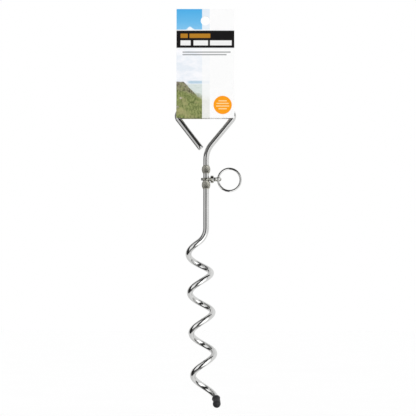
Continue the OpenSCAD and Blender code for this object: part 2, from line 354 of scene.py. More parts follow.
def hoop(p, centre, radius, wire_r, turned):
    """Torus whose axis is +Z turned about X."""
    q = p - np.asarray(centre)
    axis = np.array([0, math.sin(turned), math.cos(turned)])
    up = q @ axis
    flat = np.linalg.norm(q - up[:, None] * axis, axis=1)
    return np.hypot(flat - radius, up) - wire_r


# ---------------------------------------------------------------- the bar's path

def aim(lean):
    """Way that the bar runs in the grip's plane, [x, z], at a lean from straight up."""
    return np.array([math.sin(lean), math.cos(lean)])


def rightward(lean):
    return np.array([math.cos(lean), -math.sin(lean)])


def grip_path(bar):
    """Middles and ways of the bar from the top of the shank round the grip to its cut end."""
    found = []

    straight_steps = 12

    def bend(centre, radius, side, start, end):
        steps = max(4, math.ceil(abs(end - start) * radius / bar.ring_gap))
        for lean in np.linspace(start, end, steps + 1):
            found.append((centre - side * radius * rightward(lean), lean))

    def straight(start, lean, run):
        for share in np.linspace(0, 1, straight_steps + 1)[1:-1]:
            found.append((start + share * run * aim(lean), lean))

    free_lean = -math.pi - bar.free_leg_angle
    neck = np.array([bar.neck_bend_r, bar.shank_l])
    bend(neck, bar.neck_bend_r, 1, 0.0, bar.leg_angle)
    straight(found[-1][0], bar.leg_angle, bar.leg_l)
    head = found[-1][0] + aim(bar.leg_angle) * bar.leg_l / straight_steps
    joined = head - bar.corner_r * rightward(bar.leg_angle)
    bend(joined, bar.corner_r, -1, bar.leg_angle, -math.pi / 2)
    straight(found[-1][0], -math.pi / 2, bar.top_bar_l)
    free = joined - np.array([bar.top_bar_l, 0])
    bend(free, bar.corner_r, -1, -math.pi / 2, free_lean)
    straight(found[-1][0], free_lean, bar.free_leg_l)
    found.append((found[-1][0] + aim(free_lean) * bar.free_leg_l / straight_steps, free_lean))
    middles = np.array([[m[0], 0, m[1]] for m, _ in found])
    ways = np.array([[aim(lean)[0], 0, aim(lean)[1]] for _, lean in found])
    return middles, ways


class CoilPath:
    """The coil's middle line. n counts turns from where the lead bend meets the coil."""

    def __init__(self, coil):
        self.coil = coil
        entry = self.leaned(self.along(0.0))
        self.lead_turn = math.acos(-entry[2])
        swing = math.atan2(-entry[1], -entry[0])
        self.plane = np.array([math.cos(swing), math.sin(swing), 0])
        self.start = self.lead_at(self.lead_turn)[0]
        n = coil.turns
        self.end_out, self.end_way = self.out(n), self.along(n)
        self.arc_r = coil.point_bend_r
        self.arc_c = self.local_at(n) - self.arc_r * self.end_out

    def out(self, n):
        a = -math.pi / 2 - 2 * math.pi * n
        return np.array([math.cos(a), math.sin(a), 0])

    def opened(self, n):
        return (max(0.0, n - self.coil.turns + self.coil.end_turns) / self.coil.end_turns) ** 2

    def fall(self, n):
        c = self.coil
        eased = 4 * n * (1 - n) if n < 0.5 else 1
        return c.pitch_top * n + c.pitch_growth * n * n / 2 + c.lead_drop * eased + c.end_drop * self.opened(n)

    def fall_rate(self, n):
        c = self.coil
        eased = 4 * c.lead_drop * (1 - 2 * n) if n < 0.5 else 0
        opening = 2 * c.end_drop * math.sqrt(self.opened(n)) / c.end_turns
        return c.pitch_top + c.pitch_growth * n + eased + opening

    def along(self, n):
        o = self.out(n)
        return unit(2 * math.pi * self.coil.coil_r * np.array([o[1], -o[0], 0]) - [0, 0, self.fall_rate(n)])

    def local_at(self, n):
        return self.coil.coil_r * self.out(n) - [0, 0, self.fall(n)]

    def leaned(self, v):
        f, s = self.coil.front_lean, self.coil.side_lean
        y = v[1] * math.cos(f) + v[2] * math.sin(f)
        z = v[2] * math.cos(f) - v[1] * math.sin(f)
        return np.array([v[0] * math.cos(s) - z * math.sin(s), y, v[0] * math.sin(s) + z * math.cos(s)])

    def placed(self, v):
        return self.start + self.leaned(v + [0, self.coil.coil_r, 0])

    def lead_at(self, a):
        """Middle and downward way of the bend into the coil."""
        middle = self.coil.lead_bend_r * ((math.cos(a) - 1) * self.plane - [0, 0, math.sin(a)])
        return middle, -math.sin(a) * self.plane - [0, 0, math.cos(a)]

    def arc_at(self, run):
        """Middle and way on the flat arc that the point and the cap share, run along from the coil's end."""
        a = run / self.arc_r
        spoke = math.cos(a) * self.end_out + math.sin(a) * self.end_way
        way = math.cos(a) * self.end_way - math.sin(a) * self.end_out
        return self.placed(self.arc_c + self.arc_r * spoke), self.leaned(way)


def coil_path(path, bar, coil):
    """Middles, downward ways and radii from the ground line down to the sharpened tip."""
    gap = bar.ring_gap
    found = []
    steps = math.ceil(path.lead_turn * coil.lead_bend_r / gap)
    found += [path.lead_at(path.lead_turn * i / steps) for i in range(1, steps)]
    stretch = 1.15              # length of the coil over that of as many flat circles
    steps = math.ceil(coil.turns * 2 * math.pi * coil.coil_r * stretch / gap)
    for n in np.linspace(0, coil.turns, steps + 1):
        found.append((path.placed(path.local_at(n)), path.leaned(path.along(n))))
    held = coil.bare_l + coil.grip_l
    steps = math.ceil(held / gap)
    found += [path.arc_at(held * i / steps) for i in range(1, steps + 1)]
    radii = [bar.rod_d / 2] * len(found)
    last, way = found[-1]
    tip_r = coil.tip_d / 2
    for share in (0.04, 0.3, 0.6, 0.9, 1.0):
        found.append((last + way * coil.point_l * share, way))
        ground = tip_r + (bar.rod_d / 2 - tip_r) * min(1.0, 1.04 - share)
        radii.append(tip_r * 0.72 if share == 1.0 else ground)      # the very end is rounded off
    return np.array([m for m, _ in found]), np.array([w for _, w in found]), np.array(radii)


# ---------------------------------------------------------------- node tools

class Signal:
    """A node's output that takes part in Python arithmetic. Each operation adds a Math node."""

    def __init__(self, tree, socket):
        self.tree, self.socket = tree, socket

    def math(self, operation, *values, clamp=False):
        node = self.tree.nodes.new("ShaderNodeMath")
        node.operation, node.use_clamp = operation, clamp
        for slot, value in zip(node.inputs, values):
            plug(self.tree, slot, value)
        return Signal(self.tree, node.outputs[0])

    def __add__(self, other):
        return self.math("ADD", self, other)

    def __sub__(self, other):
        return self.math("SUBTRACT", self, other)

    def __rsub__(self, other):
        return self.math("SUBTRACT", other, self)

    def __mul__(self, other):
        return self.math("MULTIPLY", self, other)

    def __truediv__(self, other):
        return self.math("DIVIDE", self, other)

    def __abs__(self):
        return self.math("ABSOLUTE", self)

    __radd__ = __add__
    __rmul__ = __mul__

    def held(self):
        """The same value, kept between 0 and 1."""
        return self.math("ADD", self, 0.0, clamp=True)

    def root(self):
        return self.math("SQRT", self)

    def most(self, other):
        return self.math("MAXIMUM", self, other)

    def past(self, edge, soft):
        """0 below edge and 1 above it, over a soft width."""
        return ((self - edge) / soft + 0.5).held()

    def between(self, low, high, soft):
        return self.past(low, soft) * (1 - self.past(high, soft))


def plug(tree, slot, value):
    if isinstance(value, Signal):
        tree.links.new(value.socket, slot)
    elif hasattr(value, "__len__") and len(value) == 3 and len(slot.default_value) == 4:
        slot.default_value = (*value, 1.0)
    else:
        slot.default_value = value


class Recipe:
    """Adds nodes to one tree."""

    def __init__(self, tree):
        self.tree = tree
        tree.nodes.clear()

    def node(self, kind, settings=None, values=None, output=0):
        """A node of a kind, its settings made first, then its sockets' values or links."""
        node = self.tree.nodes.new(kind)
        for key, value in (settings or {}).items():
            if key == "stops":
                ramp = node.color_ramp
                while len(ramp.elements) < len(value):
                    ramp.elements.new(0.5)
                for element, (place, colour) in zip(ramp.elements, value):
                    element.position = place
                    element.color = (*colour, 1.0)
            else:
                setattr(node, key, value)
        for key, value in (values or {}).items():
            plug(self.tree, node.inputs[key], value)
        return Signal(self.tree, node.outputs[output]) if len(node.outputs) else None

    def parts(self, vector):
        """The three numbers of a vector."""
        node = self.node("ShaderNodeSeparateXYZ", values={0: vector}).socket.node
        return [Signal(self.tree, s) for s in node.outputs]

    def place(self, output="Object"):
        return self.node("ShaderNodeTexCoord", output=output)

    def scaled(self, vector, by):
        return self.node("ShaderNodeVectorMath", {"operation": "MULTIPLY"}, {0: vector, 1: by})

    def noise(self, vector, scale, detail=2.0, rough=0.5):
        return self.node(
            "ShaderNodeTexNoise", {"noise_dimensions": "3D"},
            {"Vector": vector, "Scale": scale, "Detail": detail, "Roughness": rough},
        )

    def mix(self, mask, a, b):
        """Colour a where mask is 0 and b where it is 1."""
        node = self.tree.nodes.new("ShaderNodeMix")
        node.data_type = "RGBA"
        for slot, value in ((0, mask), (6, a), (7, b)):
            plug(self.tree, node.inputs[slot], value)
        return Signal(self.tree, node.outputs[2])

    def bump(self, height, distance):
        return self.node("ShaderNodeBump", values={"Height": height, "Distance": distance, "Strength": 1.0})

    def surface(self, values):
        """The material's one surface shader, with the values of its sockets."""
        shader = self.node("ShaderNodeBsdfPrincipled", values=values)
        self.node("ShaderNodeOutputMaterial", values={"Surface": shader})

    def metal(self, colour, rough, height, depth):
        """Metal whose surface stands up by depth where height is 1."""
        self.surface({
            "Base Color": colour, "Metallic": 1.0, "Roughness": rough, "Normal": self.bump(height, depth),
        })


def material(name):
    made = bpy.data.materials.new(name)
    made.use_nodes = True
    return made, Recipe(made.node_tree)


def new_finish(name):
    """A new material, its recipe and the place on the piece that its patterns follow."""
    made, r = material(name)
    return made, r, r.place()


# ---------------------------------------------------------------- finishes

def bright_plate(name, steel, dull_mask, seed=0.0):
    """Bright plated steel. dull_mask takes the recipe and gives where the plating is dull and marked."""
    made, r, here = new_finish(name)
    cast = r.noise(r.scaled(here, (1.0, 1.0, 0.6)), 90.0 + seed, 3.0, 0.55)
    haze = r.noise(here, 420.0 + seed, 4.0, 0.6)
    ripple = r.noise(r.scaled(here, (1.0, 1.0, 0.7)), 240.0 + seed, 1.0, 0.4)
    pits = r.node(
        "ShaderNodeTexVoronoi", {"feature": "F1"}, {"Vector": here, "Scale": 900.0, "Randomness": 1.0},
    )
    pit = (1 - pits.past(0.16, 0.10)) * haze.past(0.58, 0.06)
    grain = r.noise(here, 700.0, 5.0, 0.65)
    dull = (dull_mask(r, here) * (0.75 + 0.5 * grain)).held()
    plating = r.mix(cast.past(0.55, 0.5) * 0.35, steel.plate, steel.plate_dark)
    gloss = steel.gloss + 0.04 * haze.past(0.5, 0.4) + 0.12 * pit
    rough = gloss * (1 - dull) + (steel.satin + 0.12 * grain) * dull
    height = 0.7 * ripple - 0.6 * pit + 1.6 * grain * dull
    r.metal(r.mix(dull, plating, steel.dull), rough, height, 0.012 * MM)
    return made


def forged_plate(name, steel, polish, painted_dark_reflection):
    """Plated forging: a fine cast grain, brighter where it is rubbed. Its last argument sets a painted dark
    reflection: darker patches where it is not rubbed.
    """
    made, r, here = new_finish(name)
    grain = r.noise(here, 620.0, 5.0, 0.62)
    cloud = r.noise(here, 150.0, 2.0, 0.5)
    rub = cloud.past(0.52, 0.14) * 0.85
    colour = r.mix(rub, steel.dull, steel.plate)
    colour = r.mix((1 - grain.past(0.40, 0.14)) * 0.35, colour, (0.20, 0.19, 0.16))
    # Painted dark reflection: noise patches away from the rubbed places are darkened, standing in for what the
    # polished forging mirrors.
    colour = r.mix((1 - cloud.past(0.52, 0.16)) * painted_dark_reflection, colour, (0.07, 0.07, 0.06))
    rough = steel.satin - polish + 0.12 * grain - 0.06 * rub
    r.metal(colour, rough, grain + 0.5 * cloud, 0.05 * MM)
    return made


def cut_face(name, steel):
    """Bare sheared steel, with a burnished part and a torn part."""
    made, r, here = new_finish(name)
    streaks = r.noise(r.scaled(here, (3.0, 1.0, 0.3)), 500.0, 4.0, 0.6)
    torn = r.noise(here, 260.0, 2.0, 0.5).past(0.5, 0.12)
    colour = r.mix(torn * 0.6, steel.plate, steel.bare)
    r.metal(colour, 0.28 + 0.22 * torn, streaks * (0.4 + torn), 0.06 * MM)
    return made


def dipped_vinyl(name, cap):
    """Soft dipped vinyl: satin, with a faint orange-peel skin and paler scuffs."""
    made, r, here = new_finish(name)
    skin = r.noise(here, 380.0, 3.0, 0.5)
    cloud = r.noise(here, 120.0, 3.0, 0.6)
    scuff = r.noise(r.scaled(here, (0.5, 0.5, 2.2)), 330.0, 5.0, 0.7).past(0.62, 0.08)
    colour = r.mix(cloud.past(0.5, 0.5) * 0.5, cap.vinyl, tuple(v * 1.5 for v in cap.vinyl))
    colour = r.mix(scuff * 0.25, colour, (0.14, 0.14, 0.14))
    r.surface({
        "Base Color": colour, "Roughness": 0.40 + 0.14 * cloud + 0.15 * scuff,
        "Specular IOR Level": 0.3,
        "Normal": r.bump(skin + 0.4 * cloud, 0.05 * MM),
    })
    return made


def printed_board(name, card, left, top, tall):
    """Coated board: an outdoor scene down the left, a dark band, a round spot and plain rules."""
    made, r, here = new_finish(name)
    x, _, z = r.parts(here)
    # u runs from the card's left edge to its right, and v from its top edge to its foot, each from 0 to 1
    u = (x - left) / card.width
    v = (top - z) / tall
    fine = 0.006
    band_top, band_foot = 0.1985, 0.3560
    wobble = r.noise(here, 90.0, 4.0, 0.6)
    tuft = r.noise(r.scaled(here, (1.6, 1.0, 1.0)), 260.0, 5.0, 0.65)
    broad = r.noise(r.scaled(here, (1.0, 1.0, 1.8)), 42.0, 4.0, 0.55)

    # Sky above the band, with a low cloud, and the pale overcast below it
    sky = r.node("ShaderNodeValToRGB", {"stops": [
        (0.0, (0.065, 0.42, 0.80)), (0.12, (0.14, 0.49, 0.83)), (0.21, (0.24, 0.57, 0.86)),
    ]}, {0: v})
    cloud_top = 0.196 - 0.026 * r.node("ShaderNodeMapRange", {"interpolation_type": "SMOOTHSTEP"}, {
        0: abs(u - 0.235), 1: 0.085, 2: 0.0, 3: 0.0, 4: 1.0,
    }) - 0.012 * wobble
    sky = r.mix((v - cloud_top).past(0.0, 0.012) * u.past(0.17, 0.05), sky, (0.92, 0.95, 0.99))
    haze = r.mix(broad.past(0.50, 0.20), (0.80, 0.85, 0.91), (0.95, 0.95, 0.98))
    scene = r.mix(v.past(0.30, 0.02), sky, haze)

    # Far shore, water, a brown bank on the left and rough grass in front
    shore = r.mix(tuft, (0.38, 0.56, 0.70), (0.62, 0.74, 0.84))
    scene = r.mix((v + 0.012 * wobble).between(0.664, 0.690, 0.01) * u.past(0.20, 0.06), scene, shore)
    swell = r.noise(r.scaled(here, (1.0, 1.0, 5.0)), 120.0, 3.0, 0.5)
    water = r.mix(swell, (0.50, 0.60, 0.56), (0.86, 0.90, 0.89))
    scene = r.mix(v.past(0.688, 0.008), scene, water)
    bank_line = 0.652 + 0.58 * (u - 0.13).most(0.0) + 0.03 * wobble
    bank = r.mix(tuft.past(0.5, 0.22), (0.075, 0.062, 0.045), (0.33, 0.29, 0.22))
    bank = r.mix(broad.past(0.55, 0.12) * 0.6, bank, (0.32, 0.36, 0.14))
    scene = r.mix((v - bank_line).past(0.0, 0.008), scene, bank)
    grass = r.mix(tuft.past(0.48, 0.30), (0.085, 0.120, 0.030), (0.32, 0.36, 0.13))
    grass = r.mix(broad.past(0.56, 0.14) * 0.7, grass, (0.42, 0.39, 0.18))
    stone = r.noise(here, 75.0, 2.0, 0.5).past(0.66, 0.05) * v.between(0.74, 0.90, 0.05)
    grass = r.mix(stone * 0.8, grass, (0.58, 0.50, 0.44))
    scene = r.mix((v - 0.060 * wobble - 0.16 * u).past(0.700, 0.05), scene, grass)

    # The scene is strong on the left, washed out past the middle, and gone on the right
    white = card.board_white
    art = r.mix(u.past(0.443, fine), scene, r.mix(0.80, scene, white))
    art = r.mix(u.past(0.575, fine), art, white)
    # Thin pale keylines above and below the dark band
    art = r.mix(v.between(0.190, 0.363, 0.004), art, (0.86, 0.87, 0.88))
    ink = r.mix(wobble.past(0.5, 0.6) * 0.4, card.ink_black, (0.018, 0.016, 0.017))
    art = r.mix(v.between(band_top, band_foot, 0.004), art, ink)

    def rules(top_edge, foot, *spans):
        """Plain rules between two heights, each over its own span from left to right."""
        return sum(u.between(start, end, 0.008) for start, end in spans) * v.between(top_edge, foot, 0.004)

    # Plain rules stand where a printed card has its lines of words
    upper = rules(0.226, 0.266, (0.070, 0.195), (0.225, 0.585))
    lower = rules(0.288, 0.334, (0.070, 0.245), (0.295, 0.545), (0.580, 0.955))
    art = r.mix(upper * 0.85, art, (0.56, 0.24, 0.01))
    art = r.mix(lower * 0.95, art, (0.93, 0.93, 0.93))
    for line_v, end in ((0.390, 0.936), (0.4135, 0.866)):
        art = r.mix(rules(line_v, line_v + 0.011, (0.105, end)) * 0.72, art, (0.12, 0.13, 0.14))
    spot_u, spot_v = (u - 0.797) * card.width, (v - 0.880) * tall * 0.96
    spot = (spot_u * spot_u + spot_v * spot_v).root()
    art = r.mix(1 - spot.past(12.4 * MM, 0.3 * MM), art, card.ink_orange)
    for drop, half in ((-5.6, 5.6), (-2.0, 8.2), (1.7, 8.8), (5.3, 5.6)):
        across = 1 - abs(spot_u).past(half * MM, 0.5 * MM)
        line = across * (1 - abs(spot_v - drop * MM).past(0.75 * MM, 0.3 * MM))
        art = r.mix(line * 0.75, art, (1.0, 0.80, 0.42))

    # The back is plain, and cut edges show the grey core of the board
    facing = r.parts(r.place("Normal"))[1]
    fibre = r.noise(r.scaled(here, (1.0, 1.0, 0.35)), 1500.0, 4.0, 0.6)
    back = r.mix(fibre, (0.80, 0.79, 0.76), (0.88, 0.87, 0.85))
    core = r.mix(fibre, (0.50, 0.47, 0.42), (0.68, 0.66, 0.61))
    front_face = 1 - facing.past(-0.3, 0.1)
    colour = r.mix(front_face, r.mix(facing.past(0.3, 0.1), core, back), art)
    r.surface({
        "Base Color": colour, "Specular IOR Level": 0.18,
        "Roughness": 0.36 + 0.30 * (1 - front_face) + 0.06 * fibre,
        "Normal": r.bump(fibre + 2.0 * wobble, 0.012 * MM),
    })
    return made


# ---------------------------------------------------------------- pieces

def finished(made, mats, body, nodes):
    """Gives a piece its materials and body, and hides the CAD nodes that it stands for."""
    for m in mats:
        made.data.materials.append(m)
    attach(made, body)
    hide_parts(*nodes)


class PieceOperator:
    bl_options = {"REGISTER", "UNDO"}

    def execute(self, context):
        self.build(context.scene)
        return {"FINISHED"}


class STAKE_OT_bar(PieceOperator, bpy.types.Operator):
    """Bend the one steel bar into its grip, shank, coil and point, with two stops pinched into the shank"""
    bl_idname = "stake.bar"
    bl_label = "Bent Bar"

    def section(self, scene, height, angles, radius):
        """Section of the bar at a height on the shank, as [side, front] pairs round it."""
        stops = scene.stake_stops
        wide, thick, teeth = radius, radius, 0.0
        for middle in (stops.lower_z, stops.upper_z):
            off = abs(height - middle)
            if off >= stops.stop_l / 2:
                continue
            sag = stops.stop_w / 2 - radius
            ear_r = (stops.stop_l ** 2 / 4 + sag ** 2) / (2 * sag)
            wide = stops.stop_w / 2 - ear_r + math.sqrt(ear_r ** 2 - off ** 2)
            dent = radius - stops.stop_t / 2
            dent_l = 0.82 * stops.stop_l
            dent_r = (dent_l ** 2 / 4 + dent ** 2) / (2 * dent)
            if off < dent_l / 2:
                thick = stops.stop_t / 2 + dent_r - math.sqrt(dent_r ** 2 - off ** 2)
                wave = 0.5 + 0.5 * math.cos(2 * math.pi * (height - middle) / stops.jaw_pitch)
                teeth = stops.jaw_depth * wave * (1 - (2 * off / dent_l) ** 2)
        c, s = np.cos(angles), np.sin(angles)
        flattened = np.sign(s) * np.abs(s) ** 0.9       # a little fuller than round, front and back
        return np.stack([wide * c, flattened * (thick - teeth)], -1)

    def build(self, scene):
        bar, coil, stops, steel = scene.stake_bar, scene.stake_coil, scene.stake_stops, scene.stake_steel
        radius = bar.rod_d / 2
        angles = round_angles(bar.sides)
        rim = np.stack([np.cos(angles), np.sin(angles)], -1)

        low_m, low_w, low_r = coil_path(CoilPath(coil), bar, coil)
        low_u = transported(np.vstack([[0, 0, 1], -low_w]), [1, 0, 0])[1:]
        top_m, top_w = grip_path(bar)
        top_u = transported(top_w, [1, 0, 0])

        fine, coarse, end_room = 0.25 * MM, 1.5 * MM, 0.2 * MM
        heights = [0.0]
        while heights[-1] < bar.shank_l - end_room:
            near = min(abs(heights[-1] - stops.lower_z), abs(heights[-1] - stops.upper_z))
            heights.append(heights[-1] + (fine if near < stops.stop_l / 2 + 0.5 * MM else coarse))

        def ring(middle, way, side, pairs):
            return middle + pairs[:, :1] * side + pairs[:, 1:] * np.cross(way, side)

        up, side = np.array([0, 0, 1.0]), np.array([1.0, 0, 0])
        rings = [ring(m, -w, u, rim * r) for m, w, u, r in zip(low_m, low_w, low_u, low_r)][::-1]
        rings += [
            ring(up * h, up, side, self.section(scene, h, angles, radius))
            for h in heights if h < bar.shank_l - end_room
        ]
        rings += [ring(m, w, u, rim * radius) for m, w, u in zip(top_m, top_w, top_u)]
        # The cut end: a broken edge, then the face drawn in to its middle
        edge, end, way, side = bar.cut_chamfer, top_m[-1], top_w[-1], top_u[-1]
        rings[-1] = rings[-1] - way * edge
        for shrink, back in ((0.25, 0.75), (0.6, 0.3), (1.0, 0.0), (2.4, -0.05), (3.2, 0.0)):
            rings.append(ring(end - way * edge * back, way, side, rim * (radius - edge * shrink)))

        made = skin_rings("bent_bar", rings)
        sides = bar.sides
        face_start = len(rings) - 3
        for f in made.data.polygons:
            ring = min(f.vertices) // sides
            if ring >= face_start or f.index >= len(made.data.polygons) - sides:
                f.material_index = 1

        def pinched(r, here):
            z = r.parts(here)[2]
            reach, soft = stops.stop_l * 0.52, 1.6 * MM
            lower, upper = (1 - abs(z - at).past(reach, soft) for at in (stops.lower_z, stops.upper_z))
            return lower.most(upper)

        mats = [bright_plate("bright_bar", steel, pinched), cut_face("sheared_steel", steel)]
        finished(made, mats, "stake", ["grip", "shank", "coil", "point"])


class STAKE_OT_collar(PieceOperator, bpy.types.Operator):
    """Forge the collar that turns on the shank: a band, two cheeks and the boss that holds the swivel"""
    bl_idname = "stake.collar"
    bl_label = "Swivel Collar"

    def build(self, scene):
        c, s = scene.stake_collar, scene.stake_swivel
        boss_mid, boss_end = c.boss_x + c.boss_l / 2, c.boss_x + c.boss_l
        room = 1 * MM

        def field(p):
            q = p - [0, 0, c.height]
            band = puck(q, 2, (0, 0, 0), c.band_r, c.band_t / 2, 0.9 * MM)
            reach = np.clip(q[:, 0] / boss_mid, 0, 1)
            half = c.band_r + (0.47 * c.boss_d - c.band_r) * reach
            cheek = np.maximum(np.abs(q[:, 1]) - half, np.maximum(-q[:, 0], q[:, 0] - boss_mid))
            cheek = pared(cheek, -(np.abs(q[:, 2]) - c.band_t / 2), 0.8 * MM)
            boss = puck(q, 0, (boss_mid, 0, 0), c.boss_d / 2, c.boss_l / 2, 0.8 * MM)
            body = merged(merged(band, cheek, 0.3 * MM), boss, c.fillet)
            bore = np.hypot(q[:, 0], q[:, 1]) - c.hole_r
            from_stem = np.hypot(q[:, 1], q[:, 2])
            head = np.maximum(from_stem - s.head_d / 2 - s.gap, q[:, 0] - c.boss_x)
            stem = np.maximum(from_stem - s.stem_d / 2 - 0.05 * MM, -q[:, 0])
            return pared(pared(pared(body, bore, 0.5 * MM), head, 0.3 * MM), stem, 0.4 * MM)

        made = grown_mesh(
            "collar_forging", field,
            (-c.band_r - room, -c.band_r - room, c.height - c.boss_d / 2 - room),
            (boss_end + room, c.band_r + room, c.height + c.boss_d / 2 + room), c.cell,
        )
        # The last value sets the painted dark reflection on the collar.
        mats = [forged_plate("forged_collar", scene.stake_steel, 0.32, 0.45)]
        finished(made, mats, "collar", ["collar"])


class STAKE_OT_swivel(PieceOperator, bpy.types.Operator):
    """Shape the swivel: its peened head and stem in the boss, its neck and the eye that holds the ring"""
    bl_idname = "stake.swivel"
    bl_label = "Swivel Eye"

    def build(self, scene):
        c, s = scene.stake_collar, scene.stake_swivel
        neck_x = c.boss_x + c.boss_l + s.gap
        eye_x = neck_x + s.neck_l + s.eye_r
        head_x = c.boss_x - s.gap - s.head_t

        def field(p):
            q = p - [0, 0, c.height]
            neck = puck(q, 0, (neck_x + s.neck_l / 2, 0, 0), s.neck_d / 2, s.neck_l / 2, 0.7 * MM)
            eye = hoop(q, (eye_x, 0, 0), s.eye_r, s.eye_wire_d / 2, s.eye_turn)
            body = merged(neck, eye, 0.9 * MM)
            axis = np.array([0, math.sin(s.eye_turn), math.cos(s.eye_turn)])
            off = q - [eye_x, 0, 0]
            hole = np.linalg.norm(off - (off @ axis)[:, None] * axis, axis=1) - s.eye_r + s.eye_wire_d / 2
            body = pared(body, hole, 0.25 * MM)
            stem_x = (head_x + neck_x) / 2 + 0.3 * MM
            stem = puck(q, 0, (stem_x, 0, 0), s.stem_d / 2, (neck_x - head_x) / 2, 0.1 * MM)
            head = puck(q, 0, (head_x + s.head_t / 2, 0, 0), s.head_d / 2, s.head_t / 2, 0.42 * MM)
            return merged(merged(body, stem, 0.2 * MM), head, 0.2 * MM)

        reach = s.eye_r + s.eye_wire_d
        made = grown_mesh(
            "swivel_eye_forging", field,
            (head_x - 1 * MM, -reach, c.height - reach),
            (eye_x + reach + 0.5 * MM, reach, c.height + reach), c.cell * 0.8,
        )
        # The last value sets the painted dark reflection on the eye.
        mats = [forged_plate("forged_eye", scene.stake_steel, 0.32, 0.35)]
        finished(made, mats, "swivel", ["swivel_eye"])


class STAKE_OT_ring(PieceOperator, bpy.types.Operator):
    """Bend the lead ring from round wire and weld it shut"""
    bl_idname = "stake.ring"
    bl_label = "Lead Ring"

    def build(self, scene):
        ring = scene.stake_ring
        low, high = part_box("lead_ring")
        centre = np.array((low + high) / 2)
        rim, across = round_angles(28), np.array([0, 1, 0])
        rings = []
        for a in round_angles(200):
            spoke = np.array([math.cos(a), 0, math.sin(a)])
            off = (a - ring.weld_at + math.pi) % (2 * math.pi) - math.pi
            bead = ring.weld_h * math.exp(-((off / ring.weld_w) ** 2) * 2)
            seam = 0.05 * math.exp(-((off / ring.weld_w) ** 2) * 60)
            r = ring.wire_d / 2 * (1 + (bead - seam) * (0.8 + 0.2 * np.cos(3 * rim)))
            middle = centre + ring.ring_r * spoke
            rings.append(middle + (r * np.cos(rim))[:, None] * spoke + (r * np.sin(rim))[:, None] * across)
        made = skin_rings("lead_ring_wire", rings, looped=True)
        weld = centre + ring.ring_r * np.array([math.cos(ring.weld_at), 0, math.sin(ring.weld_at)])

        def scorched(r, here):
            span = r.node("ShaderNodeVectorMath", {"operation": "DISTANCE"}, {0: here, 1: tuple(weld)}, "Value")
            return (1 - span.past(1.7 * MM, 1.4 * MM)) * 0.9

        mats = [bright_plate("bright_ring", scene.stake_steel, scorched, 35.0)]
        finished(made, mats, "ring", ["lead_ring"])


class STAKE_OT_cap(PieceOperator, bpy.types.Operator):
    """Dip the soft vinyl cap over the point: a beaded mouth, a drawn-in waist and a round end"""
    bl_idname = "stake.cap"
    bl_label = "Tip Cap"

    def build(self, scene):
        bar, coil, cap = scene.stake_bar, scene.stake_coil, scene.stake_cap
        path = CoilPath(coil)
        cap_r = bar.rod_d / 2 + cap.over / 2
        ball_r = cap_r + cap.ball_swell
        ball_at = coil.bare_l + coil.grip_l + coil.point_l + cap.end_t - ball_r
        bore = bar.rod_d / 2 + cap.fit_gap
        lip = (cap_r + cap.bead - bore) / 2
        stations = []          # run along the arc, forward of the arc's end, radius
        for a in np.linspace(math.pi, 0, 13):
            lip_r = bore + lip - lip * math.cos(math.pi - a)
            stations.append((coil.bare_l + lip - lip * math.sin(a), 0.0, lip_r))
        for share in np.linspace(0, 1, 22)[1:]:
            run = coil.bare_l + lip + share * (ball_at - coil.bare_l - lip)
            bead = cap.bead * math.exp(-((run - coil.bare_l - lip) / (0.9 * MM)) ** 2)
            waist = cap.waist * math.sin(math.pi * share) ** 1.5
            stations.append((run, 0.0, cap_r + bead - waist + cap.ball_swell * share ** 2))
        for a in np.linspace(0, math.pi / 2, 14)[1:-1]:
            stations.append((ball_at, ball_r * math.sin(a), ball_r * math.cos(a)))
        held = coil.bare_l + coil.grip_l
        inside = [(held, coil.point_l + cap.fit_gap, coil.tip_d / 2), (held, 0.0, bore)]
        inside += [(run, 0.0, bore) for run in np.linspace(held, coil.bare_l + lip, 9)[1:-1]]

        rows = inside + stations
        frames = [path.arc_at(run) for run, _, _ in rows]
        first = unit(np.cross(frames[0][1], [0, 0, 1.0]))
        sides = transported(np.array([w for _, w in frames]), first)
        rim = round_angles(36)
        rings = []
        for (m, w), u, (_, ahead, r) in zip(frames, sides, rows):
            rings.append(m + w * ahead + r * (np.cos(rim)[:, None] * u + np.sin(rim)[:, None] * np.cross(w, u)))
        made = skin_rings("dipped_cap", rings)
        finished(made, [dipped_vinyl("cap_vinyl_skin", cap)], "cap", ["tip_cap"])


